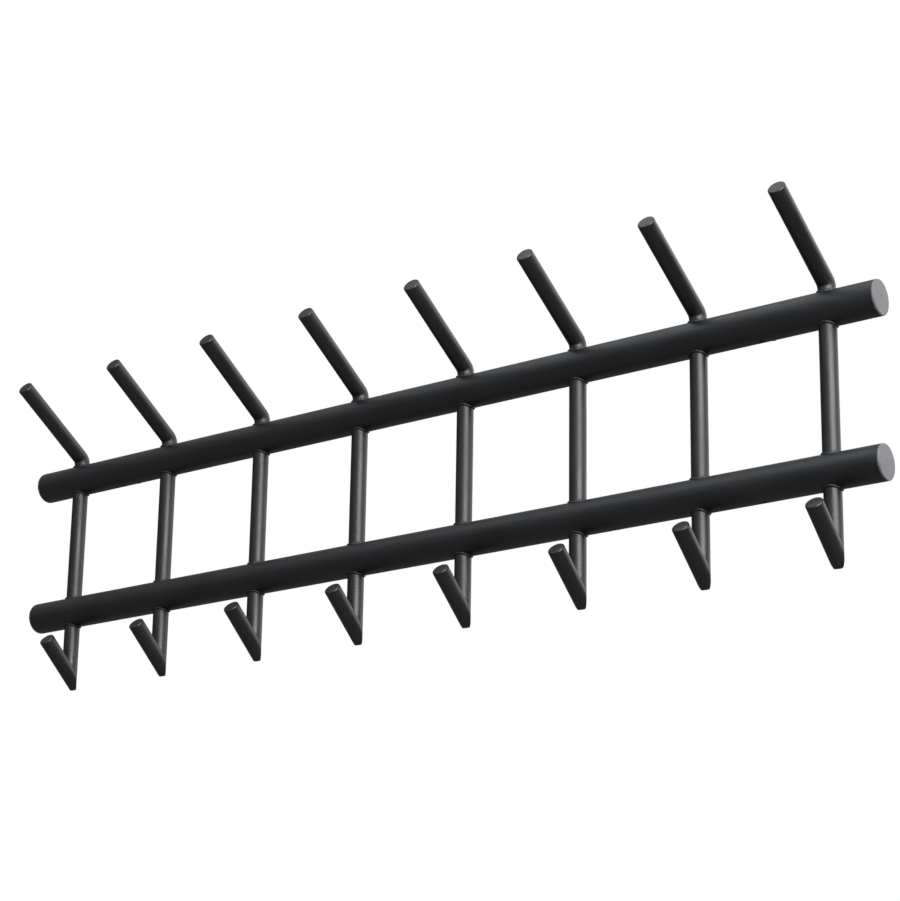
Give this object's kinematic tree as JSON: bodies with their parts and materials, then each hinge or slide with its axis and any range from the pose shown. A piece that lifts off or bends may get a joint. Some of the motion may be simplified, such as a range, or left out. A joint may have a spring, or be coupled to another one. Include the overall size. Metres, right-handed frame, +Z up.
{
  "type": "wall coat rack",
  "caption": "Wall-mounted coat and hat rack: two round rails crossed by a row of bars, each with an outward peg on top and a V-shaped coat hook below.",
  "frame": {"origin": "on the wall plane, in the middle of the four wall posts", "axes": "+X along the rails to the viewer's right, +Y into the wall, +Z up; pegs and hooks point along -Y"},
  "size_m": [0.78, 0.0933, 0.2488],
  "materials": {
    "rack_paint": "satin black powder coat",
    "cap_plastic": "fine matt moulded",
    "post_steel": "zinc plated, turned",
    "screw_steel": "black oxide"
  },
  "bodies": {
    "root": {"hook_rod_1": "rack_paint", "hook_leg_1": "rack_paint", "hook_rod_2": "rack_paint", "hook_leg_2": "rack_paint", "hook_rod_3": "rack_paint", "hook_leg_3": "rack_paint", "hook_rod_4": "rack_paint", "hook_leg_4": "rack_paint", "hook_rod_5": "rack_paint", "hook_leg_5": "rack_paint", "hook_rod_6": "rack_paint", "hook_leg_6": "rack_paint", "hook_rod_7": "rack_paint", "hook_leg_7": "rack_paint", "hook_rod_8": "rack_paint", "hook_leg_8": "rack_paint", "upper_rail": "rack_paint", "upper_rail_welds": "rack_paint", "upper_left_end_cap": "cap_plastic", "upper_left_wall_post": "post_steel", "upper_right_end_cap": "cap_plastic", "upper_right_wall_post": "post_steel", "lower_rail": "rack_paint", "lower_rail_welds": "rack_paint", "lower_left_end_cap": "cap_plastic", "lower_left_wall_post": "post_steel", "lower_right_end_cap": "cap_plastic", "lower_right_wall_post": "post_steel", "set_screws": "screw_steel"}
  },
  "joints": []
}
